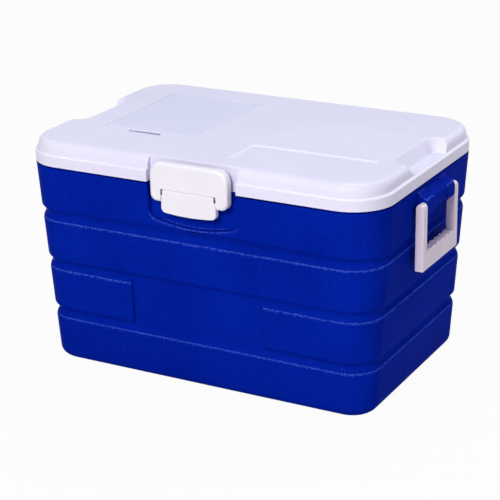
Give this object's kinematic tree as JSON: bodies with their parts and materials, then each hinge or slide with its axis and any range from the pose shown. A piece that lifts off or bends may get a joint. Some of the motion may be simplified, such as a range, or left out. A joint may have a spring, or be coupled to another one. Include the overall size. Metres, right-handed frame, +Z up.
{
  "type": "vaccine carrier",
  "caption": "Hard insulated carrier with a banded tub, a hinged domed lid with a small access hatch, a front lever latch and a swinging bail handle at each end.",
  "frame": {"origin": "middle of the base, on the surface it stands on", "axes": "+X towards the right-hand end seen from the latch, -Y towards the latch, +Z up"},
  "size_m": [0.6324, 0.4196, 0.3675],
  "materials": {
    "blue_shell": "moulded polyethylene with a fine grain, satin",
    "white_lid": "moulded polyethylene with a fine grain, satin",
    "white_latch": "moulded polypropylene, semi-gloss",
    "white_handle": "moulded polypropylene with a fine grain",
    "white_liner": "smooth thermoformed liner",
    "foam": "rigid poured polyurethane foam with fine open cells",
    "grey_seal": "soft extruded seal",
    "steel_leaf": "brushed stainless steel",
    "steel_pin": "drawn steel rod",
    "steel_screw": "bright pan-head screws"
  },
  "bodies": {
    "tub": {"outer_shell": "blue_shell", "body_foam": "foam", "inner_liner": "white_liner", "hinge_body_leaf_left": "steel_leaf", "hinge_body_leaf_right": "steel_leaf", "hinge_pin_left": "steel_pin", "hinge_pin_right": "steel_pin", "hinge_body_screws": "steel_screw"},
    "lid": {"lid_shell": "white_lid", "lid_foam": "foam", "lid_liner": "white_liner", "lid_seal": "grey_seal", "hinge_lid_leaf_left": "steel_leaf", "hinge_lid_leaf_right": "steel_leaf", "hinge_lid_screws": "steel_screw", "latch_plate_pin": "steel_pin", "hatch_hinge_pin": "steel_pin"},
    "hatch": {"hatch_cover": "white_lid", "hatch_foam": "foam", "hatch_liner": "white_liner", "hatch_seal": "grey_seal"},
    "latch_plate": {"latch_plate": "white_latch", "latch_lever_pin": "steel_pin"},
    "latch_lever": {"latch_lever": "white_latch"},
    "handle_right": {"handle_right": "white_handle"},
    "handle_left": {"handle_left": "white_handle"}
  },
  "joints": [
    {"name": "lid_hinge", "type": "hinge", "parent": "tub", "child": "lid", "pos_m": [0, 0.2058, 0.3284], "axis": [-1, 0, 0], "range_deg": [0, 100]},
    {"name": "hatch_hinge", "type": "hinge", "parent": "lid", "child": "hatch", "pos_m": [-0.135, 0.127, 0.3635], "axis": [-1, 0, 0], "range_deg": [0, 95]},
    {"name": "latch_hinge", "type": "hinge", "parent": "lid", "child": "latch_plate", "pos_m": [0.004, -0.199, 0.357], "axis": [-1, 0, 0], "range_deg": [0, 100]},
    {"name": "lever_hinge", "type": "hinge", "parent": "latch_plate", "child": "latch_lever", "pos_m": [0.004, -0.2068, 0.3204], "axis": [-1, 0, 0], "range_deg": [0, 30]},
    {"name": "handle_right_hinge", "type": "hinge", "parent": "tub", "child": "handle_right", "pos_m": [0.3092, 0, 0.3], "axis": [0, -1, 0], "range_deg": [0, 180]},
    {"name": "handle_left_hinge", "type": "hinge", "parent": "tub", "child": "handle_left", "pos_m": [-0.3092, 0, 0.3], "axis": [0, 1, 0], "range_deg": [0, 180]}
  ]
}
